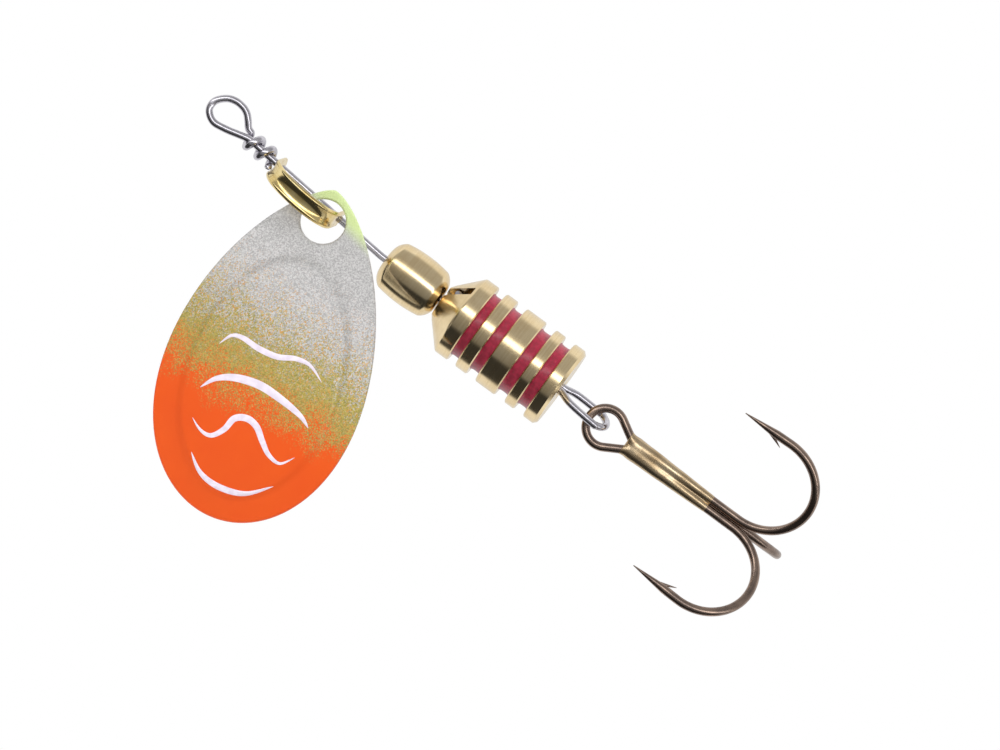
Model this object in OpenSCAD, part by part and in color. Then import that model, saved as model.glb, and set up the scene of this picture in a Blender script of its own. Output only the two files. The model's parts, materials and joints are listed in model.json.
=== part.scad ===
// Inline spinner: a spoon-shaped blade on a folded clevis, a bead, a turned
// brass weight and a treble hook, all carried by one piece of stainless wire.
// The origin is the centre of the line eye. +X runs along the wire toward the
// hook and the convex face of the blade looks along -Y.

/* [Wire] */
// Thickness of the stainless wire
wire_d = 0.52; // [0.45:0.01:0.56]
// Half the height of the line eye, roughly, to the middle of the wire
eye_r = 1.2; // [1.1:0.01:1.3]
// Height of the eye's centre over the shaft line
eye_rise = 0.3; // [0.2:0.05:0.4]
// Turns of wire wrapped round the shaft behind the eye
wrap_turns = 2.5; // [1.5:1:3.5]
// Advance of each wrapped turn
wrap_pitch = 1.03; // [0.8:0.01:1.05]
// Bend of the wire in front of the bead, in degrees
wire_bend = 5.2; // [3:0.1:6]

/* [Clevis] */
// Distance between the two ears, from middle to middle
clevis_span = 5.2; // [5:0.1:5.4]
// Straight part of each arm, from the wire to the bow
clevis_arm = 1.8; // [1.7:0.1:2.1]
// Width of the brass strip
clevis_w = 1.4; // [1.2:0.05:1.45]
// Lean of the bow away from the face-on direction, in degrees
clevis_lean = 10; // [6:1:12]

/* [Blade] */
// Length of the blade
blade_l = 23.7; // [22:0.1:25]
// Width of the blade
blade_w = 14; // [13:0.1:15]
// Thickness of the blade's sheet brass
blade_t = 0.5; // [0.4:0.05:0.6]
// Diameter of the hole for the clevis
blade_hole_d = 3.06; // [3.0:0.01:3.2]
// Radius of the blade's outer face
blade_dish_r = 40; // [36:1:50]
// Step from the flat border up to the domed middle
blade_step = 0.3; // [0.1:0.05:0.35]
// Turn of the blade away from the wire, in degrees
blade_angle = 68.4; // [60:0.1:75]

/* [Bead and weight] */
// Diameter of the barrel-shaped bead
bead_d = 3.9; // [3.4:0.1:4.2]
// Length of the bead
bead_l = 4.62; // [4:0.02:4.66]
// Diameter of the turned weight
weight_d = 6.06; // [5.6:0.02:6.2]
// Length of the weight
weight_l = 10.14; // [9.6:0.02:10.4]
// Depth of the enamelled grooves
groove_depth = 0.72; // [0.5:0.01:0.8]
// Thickness of the enamel in the grooves
enamel_t = 0.26; // [0.15:0.01:0.4]

/* [Treble hook] */
// Thickness of the hook wire
hook_d = 0.62; // [0.55:0.01:0.66]
// Radius of each hook's round bend
hook_bend_r = 3.55; // [3.2:0.05:3.7]
// Length of the straight shank, from the eye to the bends
shank_l = 8.6; // [8.2:0.05:9]
// Length of the straight run from bend to point
spear_l = 3.7; // [3.2:0.1:4]

/* [Hidden] */

$fn = 64;
wire_r = wire_d / 2;
hook_r = hook_d / 2;
fit = 0.06;              // radial running clearance on the wire
tube_sides = 16;         // facets round a swept wire

shaft_start = 2.75;      // where the straight shaft leaves the eye

// The eye from the strand round to the crossing, for an eye_r of 1
eye_loop = [[1.08, -0.02, -0.48], [0.34, 0, -0.73], [-0.45, 0.02, -0.87], [-1.05, 0.03, -0.53],
            [-1.15, 0.04, 0.06], [-0.75, 0.06, 0.62], [-0.25, 0.08, 0.86], [0.27, 0.1, 0.88],
            [0.67, 0.12, 0.75], [0.98, 0.15, 0.5], [1.3, 0.25, 0.18]];

bend_x = 14.2;           // corner of the wire's bend, on the shaft line
bend_r = 4;
bend_reach = bend_r * tan(wire_bend / 2);

clevis_x = 5;            // the ear next to the eye
clevis_bow_r = clevis_span / 2;
clevis_t = 0.3;
gutter_r = 1.15;         // radius of the strip's gutter section
ear_r = 0.75;

hole_r = blade_hole_d / 2;
hole_pos = [9.9, -2.65, -0.85];
hole_inset = 2.3;        // from the blade's end to the middle of its hole
blade_wide_at = 14 / 23.7 * blade_l;
dish_apex = 11.5;        // from the hole to the crown of the blade's dish
dome_inset = 1.45;       // width of the flat border round the dome

bead_x = 0.4;            // from the wire's bend to the bead
nose_x = 5.12;
nose_r = 1.2;
weight_r = weight_d / 2;
bore_r = 0.66;
slot_w = 0.7;
slot_depth = 1.5;
slot_turn = 51;          // the slot's direction round the weight's axis
pair_r = 0.36;           // the two strands' distance from the weight's axis
loop_turn = -64;         // the hook loop's plane round the weight's axis
loop_r = 1.05;
loop_sag = 0.25;         // the loop's outer end hangs a little under the axis
loop_end = 19.17;        // the loop's outer end, to the middle of the wire

// Where each groove starts and ends, as a share of the weight's length
grooves = [[0.266, 0.331], [0.425, 0.499], [0.661, 0.741], [0.821, 0.897]];

hook_x = 17.9;          // the middle of the wire at the near end of the hook's eye
hook_drop = 0.35;
eye_ring_r = 1.33;
eye_flare = 30;
eye_flare_r = 1;
shank_z = hook_r + 0.02; // the double hook's shanks, either side of the middle
eye_side_l = (eye_ring_r * cos(eye_flare) - shank_z - eye_flare_r * (1 - cos(eye_flare))) / sin(eye_flare);
shank_x = eye_ring_r * (1 + sin(eye_flare)) + eye_side_l * cos(eye_flare) + eye_flare_r * sin(eye_flare);
single_y = shank_z * sqrt(3) + 0.02;
single_start = 0.4;
hook_bend_angle = 182;
braze_r = 0.95;
braze_end_r = 0.76;
braze_l = 6.4;

// ---------- placing ----------

// Onto the shaft line, which runs a little under the eye's centre
module on_shaft() translate([0, 0, -eye_rise]) children();

// Past the bend: the origin is the corner of the bend and +X follows the wire
module past_bend() on_shaft() translate([bend_x, 0, 0]) rotate([0, -wire_bend, 0]) children();

module along_x() rotate([0, 90, 0]) children();

module on_hook() past_bend() translate([hook_x, 0, -hook_drop]) children();

// ---------- swept wire ----------

function unit(v) = v / norm(v);
function tangent(p, i) = unit(p[min(i + 1, len(p) - 1)] - p[max(i - 1, 0)]);

// A side direction carried along the path without twisting
function sides(p, i = 0, last = [0, 1, 0]) =
    let (t = tangent(p, i), s = unit(last - (last * t) * t))
    i == len(p) - 1 ? [s] : concat([s], sides(p, i + 1, s));

module swept_wire(path, r) {
    n = tube_sides;
    side = sides(path);
    rings = [for (i = [0 : len(path) - 1])
        let (t = tangent(path, i), u = side[i], v = cross(t, u))
        for (k = [0 : n - 1])
            let (a = 360 * k / n)
            path[i] + r * (cos(a) * u + sin(a) * v)];
    last = (len(path) - 1) * n;
    polyhedron(rings, concat(
        [[for (k = [0 : n - 1]) k]],
        [for (i = [0 : len(path) - 2]) for (k = [0 : n - 1])
            [i * n + k, (i + 1) * n + k, (i + 1) * n + (k + 1) % n, i * n + (k + 1) % n]],
        [[for (k = [n - 1 : -1 : 0]) last + k]]));
}

// A smooth curve through a list of points
function curve_point(a, b, c, d, t) =
    0.5 * (2 * b + (c - a) * t + (2 * a - 5 * b + 4 * c - d) * t * t
           + (3 * b - a - 3 * c + d) * t * t * t);
function curve(p, steps) =
    let (n = len(p))
    concat([for (i = [0 : n - 2]) for (k = [0 : steps - 1])
        curve_point(p[max(i - 1, 0)], p[i], p[i + 1], p[min(i + 2, n - 1)], k / steps)],
        [p[n - 1]]);

// Round the X axis: r from the axis at x, turned by a from +Z toward -Y
function around(x, r, a) = [x, -r * sin(a), r * cos(a)];

// ---------- exact wire: straight runs and round bends in one plane ----------

// Each step is [length] for a straight run or [radius, angle] for a bend;
// a positive angle bends toward +Z.
module wire_run(steps, r, i = 0) {
    if (i < len(steps)) {
        step = steps[i];
        if (len(step) == 1) {
            along_x() cylinder(r = r, h = step[0]);
            translate([step[0], 0, 0]) wire_run(steps, r, i + 1);
        } else {
            turn = abs(step[1]);
            up = step[1] > 0 ? 1 : -1;
            translate([0, 0, up * step[0]])
                rotate([up * 90, 90 * up, 0])
                    rotate_extrude(angle = turn) translate([step[0], 0]) circle(r);
            translate([step[0] * sin(turn), 0, up * step[0] * (1 - cos(turn))])
                rotate([0, -up * turn, 0]) wire_run(steps, r, i + 1);
        }
    }
}

// ---------- the wire ----------

// The teardrop eye, its wraps round the shaft and the cut end
module line_eye() {
    shaft_z = -eye_rise;
    wrap_r = wire_d + 0.02;
    wrap_x = 2.55 - 0.75 * wrap_pitch;
    step = 360 * wrap_turns;
    strand = [[shaft_start, 0, shaft_z], [shaft_start - 0.15, 0, shaft_z],
        [shaft_start - 0.65, 0, shaft_z - 0.02]];
    wraps = [for (a = [135 : 45 : 90 + step])
        [wrap_x + (a - 90) / 360 * wrap_pitch, -wrap_r * cos(a), shaft_z + wrap_r * sin(a)]];
    cut_end = wraps[len(wraps) - 1] + [0.05, -0.05, -0.12];
    color("silver") swept_wire(curve(concat(strand, eye_r * eye_loop, wraps, [cut_end]), 3), wire_r);
}

// The straight shaft through the clevis, its bend, and the run through the bead
module shaft_wire() color("silver") on_shaft() translate([shaft_start, 0, 0])
    wire_run([[bend_x - bend_reach - shaft_start], [bend_r, wire_bend], [nose_x - bend_reach]], wire_r);

// Through the weight, round the hook loop, back through the weight and into the nose slot
module hook_loop() {
    tail_x = nose_x + weight_l;
    mid = loop_end - loop_r;
    out_strand = [[nose_x, 0, 0], [nose_x + 0.15, 0, 0], around(nose_x + 1.3, pair_r, slot_turn + 180),
        around(nose_x + 2.2, pair_r, slot_turn + 180),
        around(tail_x - 1.4, pair_r, loop_turn), around(tail_x - 0.2, pair_r, loop_turn),
        around(tail_x + 0.25, pair_r + 0.06, loop_turn), around(tail_x + 1.2, 0.85 * loop_r, loop_turn)];
    bow = [for (a = [75 : -15 : -75]) around(mid + loop_r * cos(a), loop_r * sin(a), loop_turn)];
    back_strand = [around(tail_x + 1.2, 0.85 * loop_r, loop_turn + 180),
        around(tail_x + 0.25, pair_r + 0.06, loop_turn + 180),
        around(tail_x - 0.2, pair_r, loop_turn + 180), around(tail_x - 1.4, pair_r, loop_turn + 180),
        around(nose_x + 2.2, pair_r, slot_turn), around(nose_x + 1.25, pair_r + 0.03, slot_turn),
        around(nose_x + 0.93, pair_r + 0.2, slot_turn), around(nose_x + 0.78, pair_r + 0.55, slot_turn),
        around(nose_x + 0.76, pair_r + 1.3, slot_turn)];
    path = curve(concat(out_strand, bow, back_strand), 4);
    color("silver") past_bend() swept_wire([for (p = path)
        p - [0, 0, loop_sag * max(0, p.x - tail_x) / (loop_end - tail_x)]], wire_r);
}

// ---------- clevis and blade ----------

// The strip's section: a shallow gutter, its hollow side toward +X
module strip_section() intersection() {
    translate([gutter_r, 0]) difference() {
        circle(gutter_r + clevis_t / 2);
        circle(gutter_r - clevis_t / 2);
    }
    translate([-clevis_t, -clevis_w / 2]) square([gutter_r, clevis_w]);
}

// One arm with its ear, standing along +Z on the wire, hollow side toward +X
module clevis_arm_and_ear() difference() {
    union() {
        linear_extrude(clevis_arm) strip_section();
        intersection() {
            translate([0, 0, -ear_r]) linear_extrude(ear_r) strip_section();
            translate([-1, 0, 0]) along_x() cylinder(r = ear_r, h = 2);
        }
    }
    translate([-1, 0, 0]) along_x() cylinder(r = wire_r + fit, h = 2);
}

module clevis() color("gold") on_shaft() translate([clevis_x + clevis_bow_r, 0, 0])
    rotate([90 + clevis_lean, 0, 0]) {
        for (side = [0, 180]) rotate([0, 0, side])
            translate([clevis_bow_r, 0, 0]) clevis_arm_and_ear();
        translate([0, 0, clevis_arm]) rotate([90, 0, 0])
            rotate_extrude(angle = 180) translate([clevis_bow_r, 0]) strip_section();
    }

// Half of the blade's width at u from its hole end
function half_width(u) =
    let (x = (blade_wide_at - u) / blade_wide_at, y = (u - blade_wide_at) / (blade_l - blade_wide_at))
    u < blade_wide_at ? blade_w / 2 * pow(1 - pow(x, 1.85), 0.7)
                      : blade_w / 2 * sqrt(1 - pow(y, 2.15));

// The blade's outline with its hole at the origin and its tip along +X
blade_stations = concat(
    [for (a = [0 : 6 : 84]) blade_wide_at * (1 - cos(a))],
    [for (a = [0 : 6 : 90]) blade_wide_at + (blade_l - blade_wide_at) * sin(a)]);
module blade_outline(scale_w = 1) translate([-hole_inset, 0]) polygon(concat(
    [for (u = blade_stations) [u, scale_w * half_width(u)]],
    [for (i = [len(blade_stations) - 2 : -1 : 1])
        [blade_stations[i], -scale_w * half_width(blade_stations[i])]]));

// The domed middle: a smaller oval between the hole and the tip
module dome_outline() {
    start = hole_r + 1.1;
    end = blade_l - hole_inset - dome_inset;
    wide = blade_wide_at - hole_inset;
    half = blade_w / 2 - dome_inset;
    polygon([for (a = [0 : 6 : 354])
        [wide + (cos(a) > 0 ? end - wide : wide - start) * cos(a), half * sin(a)]]);
}

// A thin dished shell whose outer face passes raise over the hole
module dish(raise) translate([dish_apex, 0, raise + blade_t / 2 - sqrt(pow(blade_dish_r, 2) - pow(dish_apex, 2))])
    difference() {
        sphere(blade_dish_r, $fn = 200);
        sphere(blade_dish_r - blade_t, $fn = 200);
    }

module blade() color("orange") on_shaft() translate(hole_pos)
    rotate([0, blade_angle, 0]) rotate([90, 0, 0]) difference() {
        union() {
            intersection() {
                dish(0);
                translate([0, 0, -5]) linear_extrude(10) blade_outline();
            }
            intersection() {
                dish(blade_step);
                translate([0, 0, -5]) linear_extrude(10) dome_outline();
            }
        }
        translate([0, 0, -5]) cylinder(r = hole_r, h = 10);
    }

// ---------- bead, weight and enamel ----------

module bead() {
    r = bead_d / 2;
    half = bead_l / 2;
    corner = 1.25;
    barrel_r = 9;
    color("gold") past_bend() translate([bead_x + half, 0, 0]) along_x() difference() {
        rotate_extrude() intersection() {
            translate([r - barrel_r, 0]) circle(barrel_r, $fn = 200);
            union() {
                translate([0, -half]) square([r - corner, bead_l]);
                translate([0, corner - half]) square([r, bead_l - 2 * corner]);
                for (side = [-1, 1]) translate([r - corner, side * (half - corner)]) circle(corner);
            }
            translate([0, -half]) square([r, bead_l]);
        }
        translate([0, 0, -half - 1]) cylinder(r = wire_r + fit, h = bead_l + 2);
    }
}

module weight() {
    cone_l = 1.66;
    edge = 0.22;
    color("gold") past_bend() translate([nose_x, 0, 0]) difference() {
        along_x() difference() {
            rotate_extrude() polygon([[0, 0], [nose_r, 0], [weight_r, cone_l],
                [weight_r, weight_l - edge], [weight_r - edge, weight_l], [0, weight_l]]);
            for (g = grooves) translate([0, 0, g[0] * weight_l]) difference() {
                cylinder(r = weight_r + 1, h = (g[1] - g[0]) * weight_l);
                cylinder(r = weight_r - groove_depth, h = (g[1] - g[0]) * weight_l);
            }
            translate([0, 0, -1]) cylinder(r = bore_r, h = weight_l + 2);
        }
        rotate([slot_turn, 0, 0]) translate([-1, -slot_w / 2, -weight_r])
            cube([slot_depth + 1, slot_w, 2 * weight_r]);
    }
}

module enamel_band(i) {
    g = grooves[i] * weight_l;
    floor_r = weight_r - groove_depth;
    color("crimson") past_bend() translate([nose_x + g[0], 0, 0]) along_x() difference() {
        cylinder(r = floor_r + enamel_t, h = g[1] - g[0]);
        translate([0, 0, -1]) cylinder(r = floor_r, h = g[1] - g[0] + 2);
    }
}

// ---------- treble hook ----------

// One hook from the start of its shank: shank, round bend, spear, point and barb.
// turn is the side it bends to, round the shank from +Z toward -Y.
module hook_arm(turn, length) rotate([turn, 0, 0]) {
    spear_straight = 0.3 * spear_l;
    wire_run([[length], [hook_bend_r, hook_bend_angle], [spear_straight]], hook_r);
    translate([length, 0, hook_bend_r]) rotate([0, -hook_bend_angle, 0])
        translate([spear_straight, 0, -hook_bend_r]) {
            along_x() cylinder(r1 = hook_r, r2 = 0.03, h = spear_l - spear_straight);
            translate([0.64, 0, 0.02]) rotate([0, -62, 0]) cylinder(r1 = 0.2, r2 = 0.02, h = 1.45);
        }
}

// The double hook, bent from one wire: two hooks and the eye between them
module double_hook() color("peru") on_hook() {
    half_eye = concat(
        [[shank_x + 0.3, 0, shank_z]],
        [for (a = [0 : 6 : eye_flare])
            [shank_x - eye_flare_r * sin(a), 0, shank_z + eye_flare_r * (1 - cos(a))]],
        [for (a = [90 + eye_flare : -12 : 1])
            [eye_ring_r * (1 - cos(a)), 0, eye_ring_r * sin(a)]]);
    other_half = [for (i = [len(half_eye) - 1 : -1 : 0])
        [half_eye[i].x, 0, -half_eye[i].z]];
    swept_wire(concat(half_eye, [[0, 0, 0]], other_half), hook_r - 0.005);
    translate([shank_x, 0, shank_z]) hook_arm(30, shank_l);
    translate([shank_x, 0, -shank_z]) hook_arm(150, shank_l);
}

// The third hook, laid in the groove between the other two shanks
module single_hook() color("peru") on_hook()
    translate([shank_x + single_start, single_y, 0]) hook_arm(-90, shank_l - single_start);

// The braze that joins the two hooks, thickest at the eye
module hook_braze() color("darkgoldenrod") on_hook() difference() {
    translate([shank_x, single_y / 3, 0]) along_x() cylinder(r1 = braze_r, r2 = braze_end_r, h = braze_l);
    for (p = [[0, shank_z], [0, -shank_z], [single_y, 0]])
        translate([shank_x - 1, p[0], p[1]]) along_x() cylinder(r = hook_r, h = braze_l + 2);
}

line_eye();
shaft_wire();
hook_loop();
clevis();
blade();
bead();
weight();
enamel_band(0);  // enamel_band_1
enamel_band(1);  // enamel_band_2
enamel_band(2);  // enamel_band_3
enamel_band(3);  // enamel_band_4
double_hook();
single_hook();
hook_braze();
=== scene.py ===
import json
import math

import bpy
import numpy as np
from mathutils import Matrix, Vector


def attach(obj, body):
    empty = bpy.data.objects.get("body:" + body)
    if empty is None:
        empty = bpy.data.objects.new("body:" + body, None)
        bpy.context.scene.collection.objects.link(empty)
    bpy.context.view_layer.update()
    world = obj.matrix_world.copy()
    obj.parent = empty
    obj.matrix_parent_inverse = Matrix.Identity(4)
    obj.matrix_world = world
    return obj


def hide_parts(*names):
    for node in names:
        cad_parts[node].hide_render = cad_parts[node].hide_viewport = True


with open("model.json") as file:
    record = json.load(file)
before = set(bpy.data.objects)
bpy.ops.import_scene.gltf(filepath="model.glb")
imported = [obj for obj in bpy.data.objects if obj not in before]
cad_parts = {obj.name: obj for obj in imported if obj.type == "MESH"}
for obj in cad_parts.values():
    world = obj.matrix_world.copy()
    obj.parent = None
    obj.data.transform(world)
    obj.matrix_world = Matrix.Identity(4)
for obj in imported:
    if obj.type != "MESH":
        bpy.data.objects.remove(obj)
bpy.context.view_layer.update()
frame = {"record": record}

# An inline spinner: every shape below is worked out in millimetres in the part's own frame.
MM = 0.001
JOINTS = {j["name"]: j for j in frame["record"]["behaviour"]["joints"]}


def joint_at(name):
    return np.array(JOINTS[name]["pos_m"]) / MM


# ---------- the part's own lines ----------

WIRE_R = 0.26
WIRE_HOLE_R = 0.32
HAIR = 0.002  # the bent wires are drawn this much thinner, so that they stay inside the CAD box
SHAFT_Z = joint_at("clevis_spin")[2]
SHAFT_START = 2.75
BEND = np.array([14.2, 0.0, SHAFT_Z])
BEND_ANGLE = math.asin(JOINTS["bead_spin"]["axis"][2])
BEND_R = 4.0
BODY_AXIS = np.array([math.cos(BEND_ANGLE), 0, math.sin(BEND_ANGLE)])
BODY_UP = np.array([-math.sin(BEND_ANGLE), 0, math.cos(BEND_ANGLE)])
SIDE = np.array([0.0, 1.0, 0.0])
NOSE_X = 5.12
SLOT_TURN = 51  # the nose slot's direction round the weight's axis
WEIGHT_L = 10.14
WEIGHT_R = 3.03
HOOK = joint_at("hook_swing")


def on_body(p):
    """From the wire's bend, with +X along the tilted axis."""
    p = np.asarray(p, float)
    return BEND + p[..., :1] * BODY_AXIS + p[..., 1:2] * SIDE + p[..., 2:3] * BODY_UP


def on_hook(p):
    p = np.asarray(p, float)
    return HOOK + p[..., :1] * BODY_AXIS + p[..., 1:2] * SIDE + p[..., 2:3] * BODY_UP


def deg(function, angle):
    return function(math.radians(angle))


def around(x, r, angle):
    return [x, -r * deg(math.sin, angle), r * deg(math.cos, angle)]


# ---------- meshes ----------

def publish(name, verts, faces, uvs, material, body, slot, nodes=(), sharp=40, back=None):
    """Makes one piece from millimetre vertices, with one UV pair per face corner, also in mm."""
    mesh = bpy.data.meshes.new(name)
    mesh.from_pydata((np.asarray(verts) * MM).tolist(), [], [list(f) for f in faces])
    layer = mesh.uv_layers.new(name="UVMap")
    layer.data.foreach_set("uv", np.asarray(uvs, dtype=np.float32).ravel())
    mesh.materials.append(material)
    if back is not None:
        mesh.materials.append(back[0])
        mesh.polygons.foreach_set("material_index", np.asarray(back[1], dtype=np.int32))
    mesh.validate()
    mesh.shade_smooth()
    mesh.set_sharp_from_angle(angle=math.radians(sharp))
    piece = bpy.data.objects.new(name, mesh)
    bpy.context.scene.collection.objects.link(piece)
    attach(piece, body)
    if nodes:
        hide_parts(*nodes)
    return piece


def skin(rings, u, v, caps=True, loop=False):
    """Faces and UVs over rings of points; loop joins the last ring to the first, caps close the ends."""
    n, m = len(rings), len(rings[0])
    verts = np.asarray(rings, float).reshape(-1, 3)
    faces, uvs = [], []
    for i in range(n if loop else n - 1):
        j = (i + 1) % n
        for k in range(m):
            q = (k + 1) % m
            faces.append((i * m + k, j * m + k, j * m + q, i * m + q))
            uvs += [(u[i], v[k]), (u[i + 1], v[k]), (u[i + 1], v[k + 1]), (u[i], v[k + 1])]
    if caps:
        for ring, order in ((0, range(m)), (n - 1, range(m - 1, -1, -1))):
            faces.append(tuple(ring * m + k for k in order))
            centre = verts[ring * m:(ring + 1) * m].mean(axis=0)
            reach = verts[ring * m:(ring + 1) * m] - centre
            uvs += [(u[ring] + reach[k][1], reach[k][2]) for k in order]
    return verts, faces, uvs


def catmull(points, steps):
    """A smooth curve through a list of points."""
    p = np.asarray(points, float)
    out = []
    for i in range(len(p) - 1):
        a, b, c, d = p[max(i - 1, 0)], p[i], p[i + 1], p[min(i + 2, len(p) - 1)]
        for k in range(steps):
            t = k / steps
            out.append(0.5 * (2 * b + (c - a) * t + (2 * a - 5 * b + 4 * c - d) * t * t
                              + (3 * b - a - 3 * c + d) * t ** 3))
    return np.array(out + [p[-1]])


def tube_rings(path, radius, sides):
    """Round sections carried along a path; the side direction never twists."""
    side = SIDE
    rings = []
    for i, p in enumerate(path):
        t = path[min(i + 1, len(path) - 1)] - path[max(i - 1, 0)]
        t /= np.linalg.norm(t)
        side = side - side.dot(t) * t
        side /= np.linalg.norm(side)
        other = np.cross(t, side)
        a = np.arange(sides) * 2 * math.pi / sides
        rings.append(p + radius[i] * (np.outer(np.cos(a), side) + np.outer(np.sin(a), other)))
    return np.array(rings)


def tube(path, radius, sides=28, chamfer=0.0):
    """A swept wire with its UVs in millimetres, and a chamfer on its two ends if asked for."""
    path = np.asarray(path, float)
    radius = np.array(np.broadcast_to(radius, len(path)), float)
    if chamfer:
        for end, inward in ((0, 1), (-1, -2)):
            step = path[inward] - path[end]
            lip = path[end] + step / np.linalg.norm(step) * chamfer
            where = 1 if end == 0 else len(path) - 1
            path = np.insert(path, where, lip, axis=0)
            radius = np.insert(radius, where, radius[end])
        radius[0] -= chamfer
        radius[-1] -= chamfer
    along = np.concatenate([[0], np.cumsum(np.linalg.norm(np.diff(path, axis=0), axis=1))])
    v = np.arange(sides + 1) / sides * 2 * math.pi * radius.max()
    return skin(tube_rings(path, radius, sides), along, v)


def join(*parts):
    """Several skins in one mesh."""
    verts, faces, uvs, start = [], [], [], 0
    for v, f, t in parts:
        verts.append(np.asarray(v, float))
        faces += [tuple(i + start for i in face) for face in f]
        uvs += list(t)
        start += len(v)
    return np.concatenate(verts), faces, uvs


def lathe(profile, sides, place):
    """Turns a closed outline of (x, r) points round the body's axis."""
    profile = np.asarray(profile, float)
    a = np.arange(sides) * 2 * math.pi / sides
    rings = [place(np.column_stack([np.full(sides, x), -r * np.sin(a), r * np.cos(a)]))
             for x, r in profile]
    along = np.concatenate([[0], np.cumsum(np.linalg.norm(
        np.diff(np.vstack([profile, profile[:1]]), axis=0), axis=1))])
    v = np.arange(sides + 1) / sides * 2 * math.pi * profile[:, 1].max()
    return skin(rings, along, v, caps=False, loop=True)


def cut(piece, cutters):
    """Takes solids, each a list of vertices and one of faces, out of a piece for good."""
    for verts, faces in cutters:
        mesh = bpy.data.meshes.new("cutter")
        mesh.from_pydata((np.asarray(verts) * MM).tolist(), [], [list(f) for f in faces])
        tool = bpy.data.objects.new("cutter", mesh)
        bpy.context.scene.collection.objects.link(tool)
        modifier = piece.modifiers.new("cut", "BOOLEAN")
        modifier.object = tool
        modifier.solver = "EXACT"
        graph = bpy.context.evaluated_depsgraph_get()
        done = bpy.data.meshes.new_from_object(piece.evaluated_get(graph))
        piece.modifiers.clear()
        piece.data = done
        bpy.data.objects.remove(tool)
    piece.data.set_sharp_from_angle(angle=math.radians(40))


# ---------- materials ----------

class Look:
    """One material and short ways to wire its nodes."""

    def __init__(self, name, **sockets):
        self.material = bpy.data.materials.new(name)
        self.material.use_nodes = True
        self.tree = self.material.node_tree
        self.surface = self.tree.nodes["Principled BSDF"]
        for socket, value in sockets.items():
            self.surface.inputs[socket.replace("_", " ")].default_value = value
        self.uv = self.node("ShaderNodeTexCoord").outputs["UV"]

    def node(self, kind, **settings):
        made = self.tree.nodes.new(kind)
        for key, value in settings.items():
            setattr(made, key, value)
        return made

    def link(self, output, socket):
        self.tree.links.new(output, socket)

    def put(self, output, socket):
        self.link(output, self.surface.inputs[socket])

    def stretched(self, scale):
        mapping = self.node("ShaderNodeMapping")
        mapping.inputs["Scale"].default_value = (*scale, 1)
        self.link(self.uv, mapping.inputs["Vector"])
        return mapping.outputs["Vector"]

    def noise(self, scale, detail, rough=0.5):
        """Noise with so many features a millimetre along each UV direction."""
        made = self.node("ShaderNodeTexNoise")
        made.inputs["Scale"].default_value = 1.0
        made.inputs["Detail"].default_value = detail
        made.inputs["Roughness"].default_value = rough
        self.link(self.stretched(scale), made.inputs["Vector"])
        return made.outputs["Fac"]

    def cells(self, per_mm):
        """A random colour for each little cell."""
        made = self.node("ShaderNodeTexVoronoi")
        made.inputs["Scale"].default_value = per_mm
        self.link(self.uv, made.inputs["Vector"])
        return made.outputs["Color"]

    def maths(self, operation, a, b):
        made = self.node("ShaderNodeMath", operation=operation)
        for socket, value in zip(made.inputs, (a, b)):
            if isinstance(value, (int, float)):
                socket.default_value = value
            else:
                self.link(value, socket)
        return made.outputs[0]

    def ramp(self, value, low, high, to_low=0.0, to_high=1.0, smooth=True):
        made = self.node("ShaderNodeMapRange",
                         interpolation_type="SMOOTHSTEP" if smooth else "LINEAR")
        self.link(value, made.inputs["Value"])
        for socket, number in zip(("From Min", "From Max", "To Min", "To Max"),
                                  (low, high, to_low, to_high)):
            made.inputs[socket].default_value = number
        return made.outputs["Result"]

    def blend(self, factor, a, b):
        made = self.node("ShaderNodeMix", data_type="RGBA")
        self.link(factor, made.inputs["Factor"])
        for socket, colour in zip((made.inputs[6], made.inputs[7]), (a, b)):
            if isinstance(colour, tuple):
                socket.default_value = (*colour, 1)
            else:
                self.link(colour, socket)
        return made.outputs[2]

    def bump(self, height, depth, before=None):
        made = self.node("ShaderNodeBump")
        made.inputs["Distance"].default_value = depth * MM
        made.inputs["Strength"].default_value = 1.0
        self.link(height, made.inputs["Height"])
        if before is not None:
            self.link(before, made.inputs["Normal"])
        return made.outputs["Normal"]


def drawn_metal(name, bright, dull, rough, lines, depth, patch=1.2):
    """Metal with fine lines along or round it, and slow changes of tone and gloss.

    rough is the roughness of its glossiest and dullest patches, lines how many fine lines there are
    a millimetre in each UV direction, patch the same for the slow changes, depth the relief in mm.
    """
    look = Look(name, Metallic=1.0)
    fine = look.noise(lines, detail=4)
    slow = look.noise((patch, patch), detail=5, rough=0.6)
    tone = look.ramp(look.maths("ADD", look.maths("MULTIPLY", fine, 0.4),
                                look.maths("MULTIPLY", slow, 0.6)), 0.34, 0.66)
    look.put(look.blend(tone, dull, bright), "Base Color")
    look.put(look.ramp(slow, 0.3, 0.7, rough[1], rough[0]), "Roughness")
    first = look.bump(fine, depth)
    look.put(look.bump(slow, depth * 2, first), "Normal")
    return look.material


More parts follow.
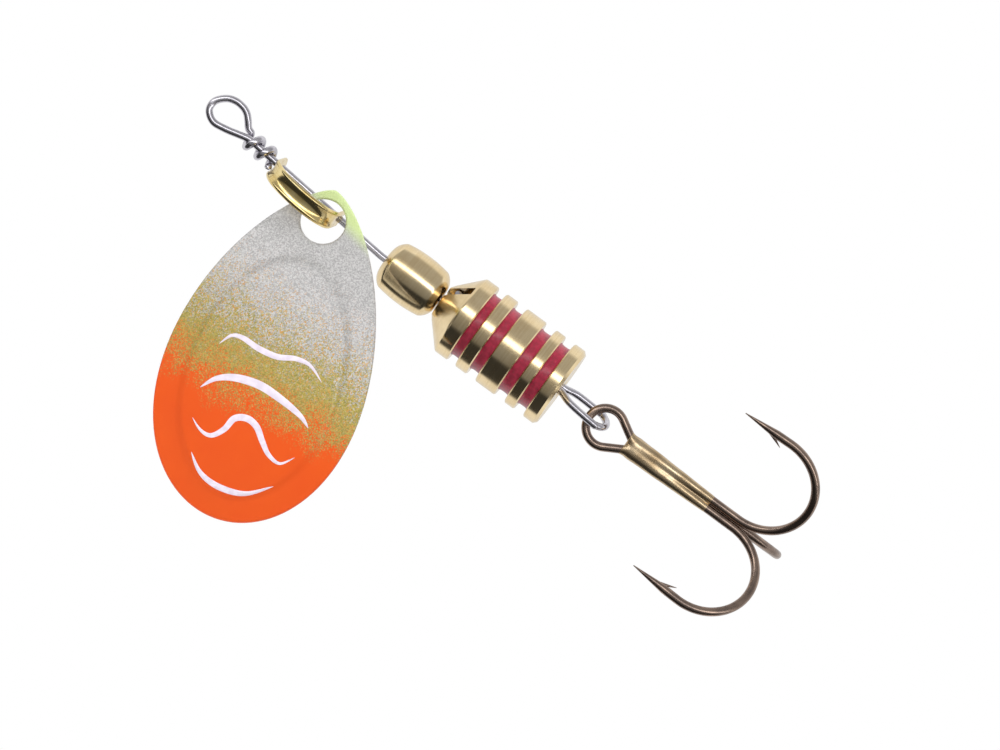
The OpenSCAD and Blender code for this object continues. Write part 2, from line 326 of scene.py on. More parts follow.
def blade_lacquer():
    """Silver flake fading through gold to smooth orange, under lacquer, with a lime end by the hole.

    The UVs are the blade's own millimetres: x runs from the hole to the tip, y across it.
    """
    look = Look("blade_lacquer", Coat_Weight=0.2, Coat_Roughness=0.12, Specular_IOR_Level=0.25)
    split = look.node("ShaderNodeSeparateXYZ")
    look.link(look.uv, split.inputs[0])
    x, y = split.outputs[0], split.outputs[1]
    flake = look.node("ShaderNodeSeparateColor")
    look.link(look.cells(14), flake.inputs[0])
    pick, shade, kind = flake.outputs[0], flake.outputs[1], flake.outputs[2]
    cloud = look.noise((0.55, 0.55), detail=3)
    # how far down the blade, with the spray's edges broken up flake by flake
    down = look.maths("ADD", look.maths("SUBTRACT", x, look.maths("MULTIPLY", y, 0.18)),
                      look.ramp(cloud, 0.3, 0.7, -0.7, 0.7))
    spray = look.maths("ADD", down, look.ramp(pick, 0, 1, -2.6, 2.6, smooth=False))
    fine = look.maths("ADD", down, look.ramp(kind, 0, 1, -1.5, 1.5, smooth=False))
    silver = look.blend(look.ramp(shade, 0.1, 0.95), (0.33, 0.325, 0.32), (0.50, 0.49, 0.485))
    gold = look.blend(look.ramp(shade, 0.1, 0.9), (0.27, 0.235, 0.055), (0.44, 0.345, 0.08))
    orange = look.blend(cloud, (0.67, 0.066, 0.0), (0.70, 0.082, 0.0))
    colour = look.blend(look.ramp(spray, 6.2, 10.0), silver, gold)
    stray = look.maths("MULTIPLY", look.ramp(pick, 0.86, 0.9), look.ramp(down, 2.5, 8.0, 0.0, 0.5))
    colour = look.blend(stray, colour, (0.72, 0.28, 0.08))
    sprayed = look.ramp(fine, 11.4, 14.0)
    colour = look.blend(sprayed, colour, orange)
    end = look.maths("SUBTRACT", x, look.maths("MULTIPLY", y, 0.45))
    lime = look.ramp(end, -0.2, -1.5, 0.0, 0.85)
    colour = look.blend(lime, colour, (0.52, 0.64, 0.25))
    look.put(colour, "Base Color")
    metal = look.ramp(fine, 9.5, 14.0, 0.22, 0.0)
    look.put(look.maths("MULTIPLY", metal, look.maths("SUBTRACT", 1.0, lime)), "Metallic")
    bare = look.maths("MULTIPLY", shade, look.maths("SUBTRACT", 1.0, sprayed))
    look.put(look.ramp(bare, 0, 1, 0.5, 0.3), "Roughness")
    grain = look.bump(bare, 0.006)
    look.put(look.bump(look.noise((1.4, 1.4), detail=4), 0.006, grain), "Normal")
    look.link(look.bump(look.noise((0.8, 0.8), detail=3), 0.02), look.surface.inputs["Coat Normal"])
    return look.material


def blade_back():
    """Bare pale metal, brushed along the blade."""
    look = Look("blade_back", Metallic=1.0)
    brushed = look.noise((0.4, 9), detail=5)
    slow = look.noise((0.6, 0.6), detail=4)
    look.put(look.blend(slow, (0.62, 0.61, 0.58), (0.78, 0.77, 0.74)), "Base Color")
    look.put(look.ramp(brushed, 0.3, 0.7, 0.22, 0.36), "Roughness")
    look.put(look.bump(brushed, 0.004), "Normal")
    return look.material


def paint(name, pale, dark, rough, coat):
    """Glossy paint with slow changes of tone and a little orange peel."""
    depth = 0.004
    look = Look(name, Coat_Weight=coat, Coat_Roughness=0.08)
    slow = look.noise((2.5, 2.5), detail=5)
    fine = look.noise((12, 12), detail=3)
    look.put(look.blend(look.ramp(slow, 0.35, 0.65), dark, pale), "Base Color")
    look.put(look.ramp(fine, 0.3, 0.7, rough[0], rough[1]), "Roughness")
    look.put(look.bump(fine, depth * 0.4, look.bump(slow, depth)), "Normal")
    return look.material


STEEL = drawn_metal("stainless_wire", (0.72, 0.70, 0.75), (0.50, 0.485, 0.53), (0.17, 0.28),
                    lines=(0.5, 14), depth=0.001)
CLEVIS_BRASS = drawn_metal("clevis_brass", (0.93, 0.77, 0.40), (0.72, 0.52, 0.18), (0.1, 0.2),
                           lines=(0.6, 9), depth=0.0015)
TURNED = drawn_metal("turned_brass", (0.91, 0.74, 0.46), (0.78, 0.60, 0.34), (0.13, 0.23),
                     lines=(7.5, 0.12), depth=0.0025, patch=0.5)
BRONZE = drawn_metal("bronzed_hook", (0.42, 0.31, 0.245), (0.19, 0.145, 0.125), (0.18, 0.32),
                     lines=(0.7, 6), depth=0.003, patch=0.8)
BRAZE = drawn_metal("braze", (0.74, 0.59, 0.39), (0.46, 0.33, 0.19), (0.22, 0.38),
                    lines=(0.5, 1.4), depth=0.008, patch=0.7)
ENAMEL = paint("red_enamel", (0.36, 0.008, 0.04), (0.25, 0.004, 0.026), (0.3, 0.42), 0.25)
WHITE = paint("white_strokes", (0.76, 0.69, 0.78), (0.66, 0.58, 0.68), (0.42, 0.55), 0.2)
LACQUER = blade_lacquer()
BACK = blade_back()


# ---------- the wire ----------

# The eye from the strand round to the crossing, for an eye of 1 mm
EYE_LOOP = np.array([
    (1.08, -0.02, -0.48), (0.34, 0, -0.73), (-0.45, 0.02, -0.87), (-1.05, 0.03, -0.53),
    (-1.15, 0.04, 0.06), (-0.75, 0.06, 0.62), (-0.25, 0.08, 0.86), (0.27, 0.1, 0.88),
    (0.67, 0.12, 0.75), (0.98, 0.15, 0.5), (1.3, 0.25, 0.18)])


def line_eye():
    """The teardrop eye, its wraps round the shaft and the cut end."""
    eye_r, pitch = 1.2, 1.03
    wrap_r = 2 * WIRE_R + 0.02
    wrap_x = 2.55 - 0.75 * pitch
    strand = [[SHAFT_START, 0, SHAFT_Z], [SHAFT_START - 0.15, 0, SHAFT_Z],
              [SHAFT_START - 0.65, 0, SHAFT_Z - 0.02]]
    wraps = [[wrap_x + (a - 90) / 360 * pitch, -wrap_r * deg(math.cos, a),
              SHAFT_Z + wrap_r * deg(math.sin, a)] for a in range(135, 991, 45)]
    cut_end = [(np.array(wraps[-1]) + [0.05, -0.05, -0.12]).tolist()]
    path = catmull(strand + (EYE_LOOP * eye_r).tolist() + wraps + cut_end, 9)
    publish("line_eye_wire", *tube(path, WIRE_R - HAIR), STEEL, "wire_and_weight",
            "stainless_wire", ["line_eye"])


def shaft():
    """The straight shaft, its bend and the run through the bead."""
    reach = BEND_R * math.tan(BEND_ANGLE / 2)
    centre = BEND + np.array([-reach, 0, BEND_R])
    arc = [centre + BEND_R * np.array([math.sin(a), 0, -math.cos(a)])
           for a in np.linspace(0, BEND_ANGLE, 9)]
    start = np.array([SHAFT_START, 0, SHAFT_Z])
    straight = [start + (arc[0] - start) * t for t in np.linspace(0, 1, 12)[:-1]]
    end = BEND + NOSE_X * BODY_AXIS
    rest = [arc[-1] + (end - arc[-1]) * t for t in np.linspace(0, 1, 8)[1:]]
    publish("shaft_wire_run", *tube(straight + arc + rest, WIRE_R), STEEL, "wire_and_weight",
            "stainless_wire", ["shaft_wire"])


def hook_loop():
    """Through the weight, round the hook loop, back through it and out into the nose slot."""
    pair_r, loop_turn, loop_r, loop_end, sag = 0.36, -64, 1.05, 19.17, 0.25
    tail = NOSE_X + WEIGHT_L
    mid = loop_end - loop_r
    out = [[NOSE_X, 0, 0], [NOSE_X + 0.15, 0, 0], around(NOSE_X + 1.3, pair_r, SLOT_TURN + 180),
           around(NOSE_X + 2.2, pair_r, SLOT_TURN + 180), around(tail - 1.4, pair_r, loop_turn),
           around(tail - 0.2, pair_r, loop_turn), around(tail + 0.25, pair_r + 0.06, loop_turn),
           around(tail + 1.2, 0.85 * loop_r, loop_turn)]
    bow = [around(mid + loop_r * deg(math.cos, a), loop_r * deg(math.sin, a), loop_turn)
           for a in range(75, -76, -15)]
    home = [around(tail + 1.2, 0.85 * loop_r, loop_turn + 180),
            around(tail + 0.25, pair_r + 0.06, loop_turn + 180),
            around(tail - 0.2, pair_r, loop_turn + 180),
            around(tail - 1.4, pair_r, loop_turn + 180), around(NOSE_X + 2.2, pair_r, SLOT_TURN),
            around(NOSE_X + 1.25, pair_r + 0.03, SLOT_TURN),
            around(NOSE_X + 0.93, pair_r + 0.2, SLOT_TURN),
            around(NOSE_X + 0.78, pair_r + 0.55, SLOT_TURN),
            around(NOSE_X + 0.76, pair_r + 1.3, SLOT_TURN)]
    path = catmull(out + bow + home, 9)
    path[:, 2] -= sag * np.clip(path[:, 0] - tail, 0, None) / (loop_end - tail)
    publish("hook_loop_wire", *tube(on_body(path), WIRE_R - HAIR), STEEL,
            "wire_and_weight", "stainless_wire", ["hook_loop"])


# ---------- the clevis ----------

def clevis():
    """A strip of gutter section bent to a U, with a rounded ear and a wire hole at each end."""
    bow_r, arm, half_w, thick, gutter_r, ear_r, lean = 2.6, 1.8, 0.7, 0.3, 1.15, 0.75, 10
    steps = []
    for a in np.linspace(0, 90, 9):
        steps.append(([bow_r, -ear_r * deg(math.cos, a)], [1, 0], ear_r * deg(math.sin, a)))
    for z in np.linspace(0, arm, 8)[1:]:
        steps.append(([bow_r, z], [1, 0], 1))
    for a in np.linspace(0, 180, 61)[1:]:
        outward = [deg(math.cos, a), deg(math.sin, a)]
        steps.append(([bow_r * outward[0], arm + bow_r * outward[1]], outward, 1))
    ear_and_arm = 16  # the steps so far of the first arm, repeated backwards for the other
    steps += [([-p[0], p[1]], [-o[0], o[1]], w) for p, o, w in reversed(steps[:ear_and_arm])]
    rim, edge_lean = 0.13, 0.05  # the edges' roundness, and their lean toward the hollow side
    narrowest = 0.09  # half the width where the ear's round end comes to nothing
    rings, along, last, far = [], [], None, 0.0
    for place, outward, width in steps:
        half = max(min(half_w, width), narrowest)
        fat = min(thick / 2, half)
        reach = math.asin(max(half - rim, 0.01) / gutter_r)

        def face(r, start, end):
            return [[gutter_r - r * math.cos(a), r * math.sin(a)]
                    for a in np.linspace(start, end, 13)]

        def edge(side):
            points = []
            for b in np.linspace(0, 180, 7)[1:-1]:
                r = gutter_r - side * fat * deg(math.cos, b)
                lean = fat * deg(math.sin, b) * math.sin(reach) * edge_lean
                points.append([gutter_r - r * math.cos(reach) + lean,
                               side * (r * math.sin(reach) + rim * deg(math.sin, b))])
            return points

        section = np.array(face(gutter_r - fat, -reach, reach) + edge(1)
                           + face(gutter_r + fat, reach, -reach) + edge(-1))
        section[:, 1] = np.clip(section[:, 1], -half, half)
        ring = np.column_stack([place[0] + section[:, 0] * outward[0], section[:, 1],
                                place[1] + section[:, 0] * outward[1]])
        rings.append(ring)
        if last is not None:
            far += float(np.linalg.norm(np.array(place) - last))
        last = np.array(place)
        along.append(far)
    turn = Matrix.Rotation(math.radians(90 + lean), 3, "X")
    centre = joint_at("clevis_spin")
    placed = [np.array([centre + np.array(turn @ Vector(p)) for p in ring]) for ring in rings]
    m = len(rings[0])
    v = np.arange(m + 1) / m * 3.4
    piece = publish("folded_clevis", *skin(placed, along, v), CLEVIS_BRASS, "clevis_body",
                    "clevis_brass", ["clevis"], sharp=50)
    path = [centre + np.array([x, 0, 0]) for x in (-4.5, 4.5)]
    cut(piece, [tube(path, WIRE_HOLE_R, sides=40)[:2]])


# ---------- the blade ----------

BLADE_L, BLADE_HALF, WIDE_AT, HOLE_INSET, HOLE_R = 23.7, 7.0, 14.0, 2.3, 1.53
SHEET, DISH_R, CROWN, STEP, BORDER = 0.5, 40.0, 11.5, 0.262, 1.45
BLADE_TURN = 68.4
# The middle of the hole. The hinge is the middle of the clevis's strip, a little off it.
BLADE_HOLE = joint_at("blade_swing") + np.array([-0.25, 0, -0.38])


def half_width(u):
    a = np.clip((WIDE_AT - u) / WIDE_AT, 0, 1)
    b = np.clip((u - WIDE_AT) / (BLADE_L - WIDE_AT), 0, 1)
    return np.where(u < WIDE_AT, BLADE_HALF * (1 - a ** 1.85) ** 0.7,
                    BLADE_HALF * np.sqrt(np.clip(1 - b ** 2.15, 0, 1)))


def blade_height(x, y):
    """The outer face over the blade's own plane: a dish with a raised oval in the middle."""
    dish = np.sqrt(DISH_R ** 2 - (x - CROWN) ** 2 - y ** 2) - math.sqrt(DISH_R ** 2 - CROWN ** 2)
    start, end, wide = HOLE_R + 1.1, BLADE_L - HOLE_INSET - BORDER, WIDE_AT - HOLE_INSET
    a = np.where(x > wide, end - wide, wide - start)
    b = BLADE_HALF - BORDER
    e = np.sqrt(((x - wide) / a) ** 2 + (y / b) ** 2) + 1e-6
    slope = np.sqrt(((x - wide) / a ** 2) ** 2 + (y / b ** 2) ** 2) / e + 1e-6
    shoulder = 0.62  # width of the slope from the border up to the dome
    inside = np.clip((1 - e) / slope / shoulder, 0, 1)
    return dish + SHEET / 2 + STEP * inside ** 2 * (3 - 2 * inside)


def place_blade(x, y, z):
    """Blade coordinates to the part's frame: x toward the tip, z outward."""
    c, s = deg(math.cos, BLADE_TURN), deg(math.sin, BLADE_TURN)
    return np.column_stack([BLADE_HOLE[0] + x * c + y * s, BLADE_HOLE[1] - z,
                            BLADE_HOLE[2] - x * s + y * c])


def blade():
    sides, steps = 320, 120
    u = BLADE_L * (1 - np.cos(np.linspace(0, math.pi, 1200))) / 2
    outline = np.column_stack([u - HOLE_INSET, half_width(u)])
    theta = np.linspace(0, 2 * math.pi, sides, endpoint=False)
    order = np.arctan2(outline[:, 1], outline[:, 0])[::-1]
    reach = np.hypot(outline[:, 0], outline[:, 1])[::-1]
    folded = np.where(theta > math.pi, 2 * math.pi - theta, theta)
    inset = 0.006  # keeps the rim just inside the stated outline
    lip = 0.16     # how far the rounded rim reaches in from the edge
    far = np.interp(folded, order, reach) - inset
    rows = []

    def row(r, drop):
        x, y = r * np.cos(theta), r * np.sin(theta)
        rows.append((x, y, blade_height(x, y) - drop))

    spread = np.linspace(0, 1, steps)
    for t in spread:
        row(HOLE_R + lip + (far - HOLE_R - 2 * lip) * t, 0.0)
    for a in range(15, 180, 25):
        row(far - lip + lip * deg(math.sin, a), SHEET / 2 * (1 - deg(math.cos, a)))
    for t in spread[::-1]:
        row(HOLE_R + lip + (far - HOLE_R - 2 * lip) * t, SHEET)
    back_rows = (steps + 6, 2 * steps + 6)
    for a in range(165, 0, -25):
        row(HOLE_R + lip - lip * deg(math.sin, a), SHEET / 2 * (1 - deg(math.cos, a)))
    n = len(rows)
    verts = np.concatenate([place_blade(*r) for r in rows])
    faces, uvs, back = [], [], []
    for i in range(n):
        j = (i + 1) % n
        for k in range(sides):
            q = (k + 1) % sides
            faces.append((i * sides + k, i * sides + q, j * sides + q, j * sides + k))
            uvs += [(rows[r][0][c], rows[r][1][c]) for r, c in ((i, k), (i, q), (j, q), (j, k))]
            back.append(1 if back_rows[0] <= i < back_rows[1] else 0)
    publish("spoon_blade", verts, faces, uvs, LACQUER, "blade_body", "blade_lacquer", ["blade"],
            sharp=60, back=(BACK, back))


# Centre lines of the painted strokes on the blade, in its own millimetres, and their half widths
STROKES = [
    (((10.2, -3.6), (9.4, -3.0), (9.3, -2.2), (9.6, -1.0), (9.7, 0.4), (9.4, 1.6), (9.5, 2.7),
      (10.3, 3.8)), 0.24),
    (((13.4, -3.8), (12.5, -3.0), (12.0, -1.8), (11.9, -0.1), (12.3, 1.6), (12.9, 3.2),
      (13.5, 4.0)), 0.33),
    (((15.5, -3.6), (16.1, -2.8), (16.2, -2.0), (15.5, -1.3), (14.6, -0.9), (14.3, -0.1),
      (14.6, 0.7), (15.4, 1.4), (16.1, 2.1), (16.4, 3.0), (15.7, 3.8)), 0.27),
    (((17.7, -2.9), (18.7, -2.0), (19.2, -0.9), (19.3, 0.5), (19.0, 1.7), (18.0, 3.1)), 0.25),
]


def strokes():
    """Four plain tapered strokes of raised paint, each with its edges sunk in the blade's face."""
    section = ((-1, -0.02), (-0.96, 0.012), (-0.6, 0.03), (0, 0.034), (0.6, 0.03), (0.96, 0.012),
               (1, -0.02), (0, -0.03))  # share of the half width, and height over the face in mm
    parts = []
    for line, half in STROKES:
        path = catmull(np.array([(x, y, 0) for x, y in line], float), 10)[:, :2]
        run = np.gradient(path, axis=0)
        run /= np.linalg.norm(run, axis=1)[:, None]
        across = np.column_stack([-run[:, 1], run[:, 0]])
        t = np.linspace(0, 1, len(path))
        width = 0.88 * half * np.clip(np.sin(math.pi * t), 0.02, 1) ** 0.75
        rings = []
        for p, d, w in zip(path, across, width):
            ring = []
            for s, lift in section:
                x, y = p + d * w * s
                ring.append((x, y, float(blade_height(x, y)) + lift))
            rings.append(place_blade(*np.array(ring).T))
        along = np.arange(len(path)) * 0.1
        parts.append(skin(rings, along, np.linspace(0, 1, 9)))
    publish("blade_strokes", *join(*parts), WHITE, "blade_body", "blade_lacquer")


# ---------- bead, weight and enamel ----------

def bead():
    length, r, corner, barrel, bore = 4.62, 1.95, 1.25, 9.0, WIRE_HOLE_R
    start, lip = 0.4, 0.06  # from the wire's bend to the bead, and the bore's broken edge
    half = length / 2
    x = half * (1 - np.cos(np.linspace(0, math.pi, 70)))
    curve = r - barrel + np.sqrt(barrel ** 2 - (x - half) ** 2)
    near = np.minimum(x, length - x)
    past = np.clip(corner - near, 0, None)
    round_r = r - corner + np.sqrt(np.clip(corner ** 2 - past ** 2, 0, None))
    outer = np.minimum(curve, round_r)
    profile = [(0, bore + lip)] + list(zip(x, outer))
    profile += [(length, bore + lip), (length - lip, bore), (lip, bore)]
    publish("turned_bead", *lathe(profile, 96, lambda p: on_body(p + [start, 0, 0])), TURNED,
            "bead_body", "turned_brass", ["bead"], sharp=35)


GROOVES = [(0.266, 0.331), (0.425, 0.499), (0.661, 0.741), (0.821, 0.897)]
GROOVE_FLOOR = WEIGHT_R - 0.72


def weight():
    """A cylinder with a conical nose, four grooves with broken edges, a bore and a cut slot."""
    cone, edge, lip, bore, nose_r = 1.66, 0.22, 0.08, 0.66, 1.2
    profile = [(0, bore), (0, nose_r - 0.06), (0.05, nose_r)]
    for t in np.linspace(0, 1, 8)[1:-1]:
        profile.append((cone * t, nose_r + (WEIGHT_R - nose_r) * t))
    profile += [(cone - 0.06, WEIGHT_R - 0.066), (cone + 0.02, WEIGHT_R - 0.012),
                (cone + 0.1, WEIGHT_R)]
    for a, b in GROOVES:
        a, b = a * WEIGHT_L, b * WEIGHT_L
        profile += [(a - lip, WEIGHT_R), (a, WEIGHT_R - lip), (a, GROOVE_FLOOR),
                    (b, GROOVE_FLOOR), (b, WEIGHT_R - lip), (b + lip, WEIGHT_R)]
    profile += [(WEIGHT_L - edge, WEIGHT_R), (WEIGHT_L, WEIGHT_R - edge), (WEIGHT_L, 1.6),
                (WEIGHT_L, bore + 0.08), (WEIGHT_L - 0.08, bore)]
    piece = publish("turned_weight", *lathe(profile, 128, lambda p: on_body(p + [NOSE_X, 0, 0])),
                    TURNED, "wire_and_weight", "turned_brass", ["weight"], sharp=22)
    slot_w, depth, turn = 0.7, 1.5, math.radians(SLOT_TURN)
    box = []
    for x in (-1.0, depth):
        for y, z in ((-1, -1), (1, -1), (1, 1), (-1, 1)):
            y, z = y * slot_w / 2, z * (WEIGHT_R + 0.4)
            box.append([NOSE_X + x, y * math.cos(turn) - z * math.sin(turn),
                        y * math.sin(turn) + z * math.cos(turn)])
    faces = [(3, 2, 1, 0), (4, 5, 6, 7), (0, 1, 5, 4), (1, 2, 6, 5), (2, 3, 7, 6), (3, 0, 4, 7)]
    cut(piece, [(on_body(np.array(box)), faces)])
    piece.data.set_sharp_from_angle(angle=math.radians(22))


def enamel():
    """Enamel on each groove's floor, its surface a little hollow as it dries."""
    top, hollow = GROOVE_FLOOR + 0.26, 0.09
    for i, (a, b) in enumerate(GROOVES):
        a, b = a * WEIGHT_L, b * WEIGHT_L
        profile = [(a, GROOVE_FLOOR), (a, top)]
        for t in np.linspace(-1, 1, 11)[1:-1]:
            profile.append(((a + b) / 2 + t * (b - a) / 2, top - hollow * (1 - t ** 4)))
        profile += [(b, top), (b, GROOVE_FLOOR)]
        publish(f"enamel_ring_{i + 1}", *lathe(profile, 96, lambda p: on_body(p + [NOSE_X, 0, 0])),
                ENAMEL, "wire_and_weight", "red_enamel", [f"enamel_band_{i + 1}"], sharp=50)


# ---------- the treble hook ----------

HOOK_R = 0.306
BEND_HOOK = 3.55
SHANK_L, SPEAR_L, SPEAR_STRAIGHT = 8.6, 3.7, 1.11
HOOK_TURN = 182
EYE_R, FLARE, FLARE_R = 1.33, 30, 1.0
PAIR_Z = 0.33
EYE_SIDE = (EYE_R * deg(math.cos, FLARE) - PAIR_Z - FLARE_R * (1 - deg(math.cos, FLARE))) \
    / deg(math.sin, FLARE)
SHANK_X = EYE_R * (1 + deg(math.sin, FLARE)) + EYE_SIDE * deg(math.cos, FLARE) \
    + FLARE_R * deg(math.sin, FLARE)
SINGLE_Y = PAIR_Z * math.sqrt(3) + 0.02


def arm_path(turn, length):
    """Shank, round bend and spear in one plane, then turned about the shank; with radii."""
    points, radii = [], []
    for t in np.linspace(0, 1, 14)[:-1]:
        points.append((length * t, 0.0))
        radii.append(HOOK_R)
    for a in np.linspace(0, HOOK_TURN, 64):
        points.append((length + BEND_HOOK * deg(math.sin, a), BEND_HOOK * (1 - deg(math.cos, a))))
        radii.append(HOOK_R)
    end = points[-1]
    run = (deg(math.cos, HOOK_TURN), deg(math.sin, HOOK_TURN))
    for t in (0.4, 0.8, 1.0, 1.11):
        points.append((end[0] + run[0] * t, end[1] + run[1] * t))
        radii.append(HOOK_R)
    taper, point_r = SPEAR_L - SPEAR_STRAIGHT, 0.03
    for t in np.linspace(0, 1, 26)[1:]:
        far = SPEAR_STRAIGHT + taper * t
        points.append((end[0] + run[0] * far, end[1] + run[1] * far))
        radii.append(HOOK_R * (1 - t) + point_r * t)
    c, s = deg(math.cos, turn), deg(math.sin, turn)
    return np.array([[x, -z * s, z * c] for x, z in points]), np.array(radii)


def barb(turn, length):
    """A sliver cut up from the spear, pointing back toward the bend."""
    run = np.array([deg(math.cos, HOOK_TURN), deg(math.sin, HOOK_TURN)])
    inward = np.array([-run[1], run[0]])
    end = np.array([length + BEND_HOOK * deg(math.sin, HOOK_TURN),
                    BEND_HOOK * (1 - deg(math.cos, HOOK_TURN))])
    base = end + run * (SPEAR_STRAIGHT + 0.64) + inward * 0.02
    lean, barb_l, barb_r, tip_r = 62, 1.43, 0.185, 0.02
    away = -run * deg(math.sin, lean) + inward * deg(math.cos, lean)
    c, s = deg(math.cos, turn), deg(math.sin, turn)
    flat = [base + away * t for t in np.linspace(0, barb_l, 12)]
    path = np.array([[x, -z * s, z * c] for x, z in flat])
    return path, np.linspace(barb_r, tip_r, 12)


def eye_path():
    """Half the hook's eye, from the start of the shank round to the near end."""
    half = [[SHANK_X, PAIR_Z]]
    half += [[SHANK_X - FLARE_R * deg(math.sin, a), PAIR_Z + FLARE_R * (1 - deg(math.cos, a))]
             for a in np.linspace(0, FLARE, 9)[1:]]
    half += [[EYE_R * (1 - deg(math.cos, a)), EYE_R * deg(math.sin, a)]
             for a in np.linspace(90 + FLARE, 0, 30)]
    return np.array([[x, 0, z] for x, z in half])


def hooks():
    """The double hook, bent from one wire with the eye between, and the single hook laid to it."""
    single_start = 0.4  # how far behind the others the single hook's shank starts
    upper, radii = arm_path(30, SHANK_L)
    lower, _ = arm_path(150, SHANK_L)
    start = np.array([SHANK_X, 0, PAIR_Z])
    flip = np.array([1, 1, -1])
    half_eye = eye_path()
    path = np.concatenate([(upper + start)[::-1], half_eye[1:], (half_eye * flip)[::-1][1:-1],
                           lower + start * flip])
    thick = np.concatenate([radii[::-1], np.full(2 * len(half_eye) - 3, HOOK_R), radii])
    parts = [tube(on_hook(path), thick, sides=28)]
    for turn, z in ((30, 1), (150, -1)):
        spike, r = barb(turn, SHANK_L)
        parts.append(tube(on_hook(spike + start * [1, 1, z]), r, sides=16))
    publish("double_hook_wire", *join(*parts), BRONZE, "treble_hook", "bronzed_hook",
            ["double_hook"])
    single, radii = arm_path(-90, SHANK_L - single_start)
    place = np.array([SHANK_X + single_start, SINGLE_Y, 0])
    spike, r = barb(-90, SHANK_L - single_start)
    publish("single_hook_wire", *join(tube(on_hook(single + place), radii, sides=28, chamfer=0.06),
                                      tube(on_hook(spike + place), r, sides=16)),
            BRONZE, "treble_hook", "bronzed_hook", ["single_hook"])


def braze():
    """A smooth skin of braze from the eye's legs down over the three shanks, thickest at the eye."""
    length, sides, before = 6.4, 80, 0.62  # before is how far it runs up the eye's legs
    full_r, end_r = 0.95, 0.76             # its largest radius at the eye and at the far end
    angles = np.arange(sides) * 2 * math.pi / sides
    reach = np.linspace(0.2, 1.1, 181)
    rings, along = [], []
    for x in np.concatenate([[-before, -before + 0.03, -before + 0.09],
                             np.linspace(-before + 0.18, length, 40)]):
        t = max(x, 0) / length
        flare = math.asin(min(max(-x, 0) / FLARE_R, 1))
        leg = PAIR_Z + FLARE_R * (1 - math.cos(flare))
        shanks = np.array([[0, leg], [0, -leg], [0.72 * SINGLE_Y, 0] if x < 0.5 else [SINGLE_Y, 0]])
        centre = np.array([SINGLE_Y / 3, 0])
        limit = full_r + (end_r - full_r) * t + 0.3 * max(-x, 0)
        grow = 0.20 * (1 - t) ** 0.8 + 0.006 - 0.16 * max(-x, 0) / before
        soft = 0.13 * (1 - t) + 0.05
        ring = []
        for a in angles:
            p = centre + reach[:, None] * np.array([math.cos(a), math.sin(a)])
            d = np.linalg.norm(p[:, None] - shanks[None], axis=2) - HOOK_R - grow
            field = -soft * np.log(np.exp(-d / soft).sum(axis=1))
            inside = np.nonzero(field < 0)[0]
            r = reach[inside[-1]] if len(inside) else 0.2
            swell = 0.012 * math.sin(5 * t * math.pi + 2 * a) * (1 - t)
            r = min(r + swell, limit) * (0.9 if x < 0.01 - before else 1)
            ring.append([SHANK_X + x, centre[0] + r * math.cos(a), r * math.sin(a)])
        rings.append(on_hook(np.array(ring)))
        along.append(x)
    v = np.arange(sides + 1) / sides * 5
    publish("braze_skin", *skin(rings, along, v), BRAZE, "treble_hook", "braze", ["hook_braze"],
            sharp=60)


# ---------- floor, light and camera ----------

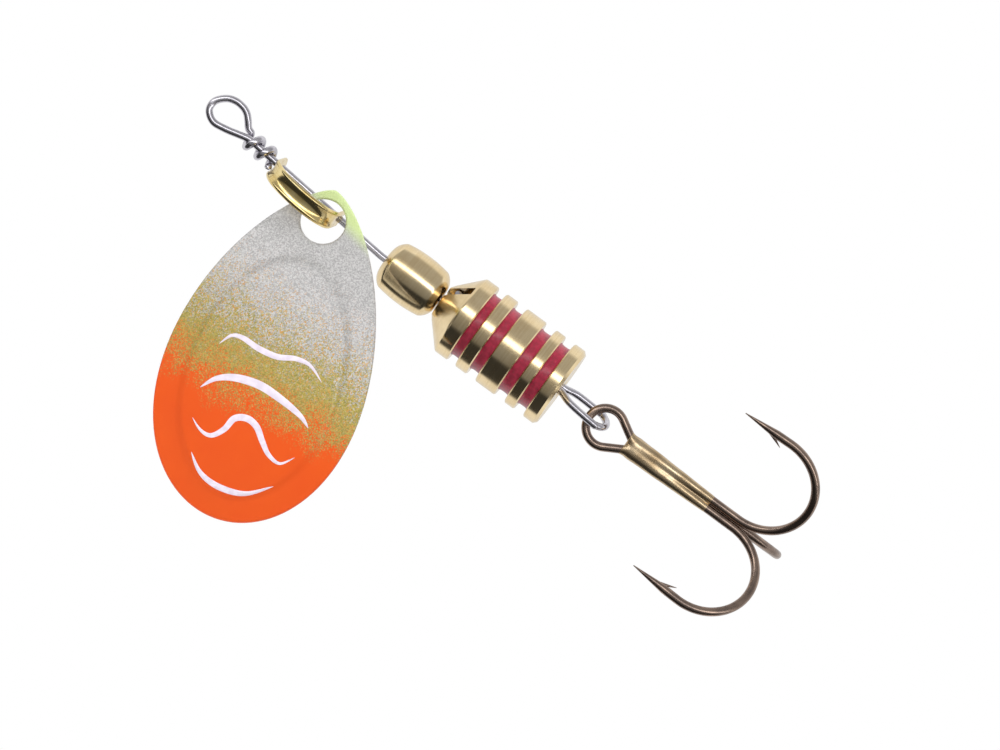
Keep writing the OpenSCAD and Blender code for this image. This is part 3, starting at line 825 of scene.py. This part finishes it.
def studio():
    floor_z, floor_r = -100.0, 500.0
    angles = np.arange(96) * 2 * math.pi / 96
    centre = np.array([25.0, 0.0])
    rings = [np.column_stack([centre[0] + r * np.cos(angles), centre[1] + r * np.sin(angles),
                              np.full(96, floor_z)]) for r in (floor_r, 250, 80, 5)]
    verts, faces, _ = skin(rings, [0, 250, 420, 495], np.arange(97), caps=False)
    faces.append(tuple(3 * 96 + k for k in range(96)))
    mesh = bpy.data.meshes.new("floor")
    mesh.from_pydata((verts * MM).tolist(), [], [list(f) for f in faces])
    look = Look("pale_floor", Base_Color=(0.93, 0.93, 0.93, 1), Roughness=0.8)
    mesh.materials.append(look.material)
    floor = bpy.data.objects.new("floor", mesh)
    bpy.context.scene.collection.objects.link(floor)
    floor.visible_glossy = False

    world = bpy.data.worlds.new("studio")
    bpy.context.scene.world = world
    world.use_nodes = True
    tree = world.node_tree
    tree.nodes.clear()

    def node(kind, **settings):
        made = tree.nodes.new(kind)
        for key, value in settings.items():
            setattr(made, key, value)
        return made

    # Soft boxes and dark cards round the X axis: 0.5 is straight out of the front
    where = node("ShaderNodeTexCoord")
    split = node("ShaderNodeSeparateXYZ")
    tree.links.new(where.outputs["Generated"], split.inputs[0])
    front = node("ShaderNodeMath", operation="MULTIPLY")
    front.inputs[1].default_value = -1
    tree.links.new(split.outputs["Y"], front.inputs[0])
    turn = node("ShaderNodeMath", operation="ARCTAN2")
    tree.links.new(split.outputs["Z"], turn.inputs[0])
    tree.links.new(front.outputs[0], turn.inputs[1])
    share = node("ShaderNodeMapRange")
    tree.links.new(turn.outputs[0], share.inputs["Value"])
    share.inputs["From Min"].default_value = -math.pi
    share.inputs["From Max"].default_value = math.pi
    cards = node("ShaderNodeValToRGB")
    stops = [(-180, 0.8), (-110, 0.95), (-102, 0.05), (-42, 0.035), (-34, 0.2), (-2, 0.3), (8, 0.6),
             (12, 3.2), (20, 3.2), (28, 0.55), (40, 0.42), (90, 0.46), (104, 0.95), (180, 0.8)]
    ramp = cards.color_ramp
    ramp.elements[0].position, ramp.elements[1].position = 0.0, 1.0
    for angle, _ in stops[1:-1]:
        ramp.elements.new((angle + 180) / 360)
    for element, (_, value) in zip(ramp.elements, stops):
        element.color = (value, value, value, 1)
    tree.links.new(share.outputs["Result"], cards.inputs["Fac"])
    soft = node("ShaderNodeBackground")
    tree.links.new(cards.outputs["Color"], soft.inputs["Color"])
    plain = node("ShaderNodeBackground")
    plain.inputs["Color"].default_value = (1, 1, 1, 1)
    seen = node("ShaderNodeLightPath")
    mix = node("ShaderNodeMixShader")
    tree.links.new(seen.outputs["Is Camera Ray"], mix.inputs[0])
    tree.links.new(soft.outputs[0], mix.inputs[1])
    tree.links.new(plain.outputs[0], mix.inputs[2])
    out = node("ShaderNodeOutputWorld")
    tree.links.new(mix.outputs[0], out.inputs["Surface"])

    def area(name, place, size, power, glossy):
        light = bpy.data.lights.new(name, "AREA")
        light.size, light.energy = size * MM, power
        lamp = bpy.data.objects.new(name, light)
        lamp.location = Vector(place) * MM
        aim = Vector((22 * MM, 0, 0)) - lamp.location
        lamp.rotation_euler = aim.to_track_quat("-Z", "Y").to_euler()
        lamp.visible_glossy = glossy
        bpy.context.scene.collection.objects.link(lamp)

    area("key", (10, -250, 340), 200, 0.75, False)
    area("fill", (-220, -260, -120), 260, 0.16, False)
    area("back", (60, 320, 220), 260, 0.5, False)
    area("floor_wash", (25, 0, 420), 500, 1.0, False)


def camera():
    """Looks along +Y from a little toward the hook's end, rolled so the wire runs down right."""
    azimuth, roll, distance, width = math.radians(3), math.radians(41.6), 400.0, 68.05
    level = Vector((math.cos(azimuth), math.sin(azimuth), 0))
    up = Vector((0, 0, 1))
    back = Vector((math.sin(azimuth), -math.cos(azimuth), 0))
    right = level * math.cos(roll) + up * math.sin(roll)
    top = up * math.cos(roll) - level * math.sin(roll)
    data = bpy.data.cameras.new("camera")
    data.sensor_width = 36
    data.lens = 36 * distance / width
    data.clip_start, data.clip_end = 0.01, 10
    shot = bpy.data.objects.new("camera", data)
    target = Vector((25.64, 0, -0.98))
    matrix = Matrix((right, top, back)).transposed().to_4x4()
    matrix.translation = (target + back * distance) * MM
    shot.matrix_world = matrix
    bpy.context.scene.collection.objects.link(shot)
    bpy.context.scene.camera = shot
    bpy.context.scene.view_settings.view_transform = "Standard"


camera()
line_eye()
shaft()
hook_loop()
clevis()
blade()
strokes()
bead()
weight()
enamel()
hooks()
braze()
studio()
